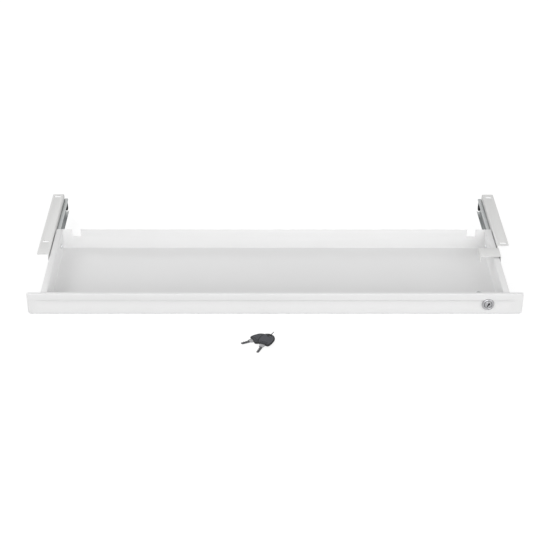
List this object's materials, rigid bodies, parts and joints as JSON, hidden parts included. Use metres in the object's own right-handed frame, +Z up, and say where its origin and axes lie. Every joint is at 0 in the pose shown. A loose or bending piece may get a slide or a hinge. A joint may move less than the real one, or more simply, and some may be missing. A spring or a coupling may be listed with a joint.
{
  "type": "under-desk drawer safe",
  "caption": "Shallow lockable steel drawer that hangs under a desk top on ball-bearing slides, drawn open, with its keys in front.",
  "frame": {"origin": "centre of the whole set seen from above, at the height of the tray's underside", "axes": "+X to the right seen from the user's side, +Y towards the back of the desk, +Z up; the drawer opens along -Y"},
  "size_m": [0.8, 0.4546, 0.042],
  "materials": {
    "white_powder_coat": "satin white powder coat",
    "grey_powder_coat": "satin light grey powder coat",
    "zinc_steel": "bright zinc plate",
    "nickel_plate": "polished nickel plate",
    "bumper_rubber": "matt black rubber",
    "key_plastic": "fine-grained dark grey moulding",
    "key_steel": "nickel-plated, worn"
  },
  "bodies": {
    "mounts": {"bracket_left": "grey_powder_coat", "bracket_right": "grey_powder_coat", "slide_outer_left": "zinc_steel", "slide_outer_right": "zinc_steel", "slide_bumper_left": "bumper_rubber", "slide_bumper_right": "bumper_rubber", "bracket_rivet_left_1": "zinc_steel", "bracket_rivet_left_2": "zinc_steel", "bracket_rivet_right_1": "zinc_steel", "bracket_rivet_right_2": "zinc_steel"},
    "drawer": {"tray": "white_powder_coat", "tray_front": "white_powder_coat", "front_panel": "white_powder_coat", "front_stud_1": "zinc_steel", "front_stud_2": "zinc_steel", "front_stud_3": "zinc_steel", "front_stud_4": "zinc_steel", "front_nut_1": "zinc_steel", "front_nut_2": "zinc_steel", "front_nut_3": "zinc_steel", "front_nut_4": "zinc_steel", "slide_inner_left": "zinc_steel", "slide_inner_right": "zinc_steel", "slide_screw_left_1": "zinc_steel", "slide_screw_left_2": "zinc_steel", "slide_screw_right_1": "zinc_steel", "slide_screw_right_2": "zinc_steel", "lock_body": "nickel_plate", "lock_nut": "zinc_steel"},
    "lock_cylinder": {"lock_plug": "nickel_plate", "lock_cam": "zinc_steel", "cam_screw": "zinc_steel"},
    "cage_left": {"ball_cage_left": "zinc_steel", "ball_left_1": "nickel_plate", "ball_left_2": "nickel_plate", "ball_left_3": "nickel_plate", "ball_left_4": "nickel_plate", "ball_left_5": "nickel_plate", "ball_left_6": "nickel_plate"},
    "cage_right": {"ball_cage_right": "zinc_steel", "ball_right_1": "nickel_plate", "ball_right_2": "nickel_plate", "ball_right_3": "nickel_plate", "ball_right_4": "nickel_plate", "ball_right_5": "nickel_plate", "ball_right_6": "nickel_plate"},
    "key_lower": {"key_lower_blade": "key_steel", "key_lower_head": "key_plastic"},
    "key_upper": {"key_upper_blade": "key_steel", "key_upper_head": "key_plastic", "key_ring": "nickel_plate"}
  },
  "joints": [
    {"name": "drawer_slide", "type": "slide", "parent": "mounts", "child": "drawer", "axis": [0, -1, 0], "range_m": [-0.11, 0.04]},
    {"name": "cage_left_roll", "type": "slide", "parent": "mounts", "child": "cage_left", "axis": [0, -1, 0], "range_m": [-0.055, 0.02]},
    {"name": "cage_right_roll", "type": "slide", "parent": "mounts", "child": "cage_right", "axis": [0, -1, 0], "range_m": [-0.055, 0.02]},
    {"name": "lock_turn", "type": "hinge", "parent": "drawer", "child": "lock_cylinder", "pos_m": [0.3436, -0.09592, 0.0187], "axis": [0, 1, 0], "range_deg": [-27, 63]},
    {"name": "key_lower_lift", "type": "slide", "parent": "mounts", "child": "key_lower", "axis": [0, 0, 1], "range_m": [0, 0.05]},
    {"name": "key_upper_lift", "type": "slide", "parent": "key_lower", "child": "key_upper", "axis": [0, 0, 1], "range_m": [0, 0.05]}
  ],
  "couplings": [
    {"joint": "cage_left_roll", "follows": "drawer_slide", "ratio": 0.5},
    {"joint": "cage_right_roll", "follows": "drawer_slide", "ratio": 0.5}
  ]
}
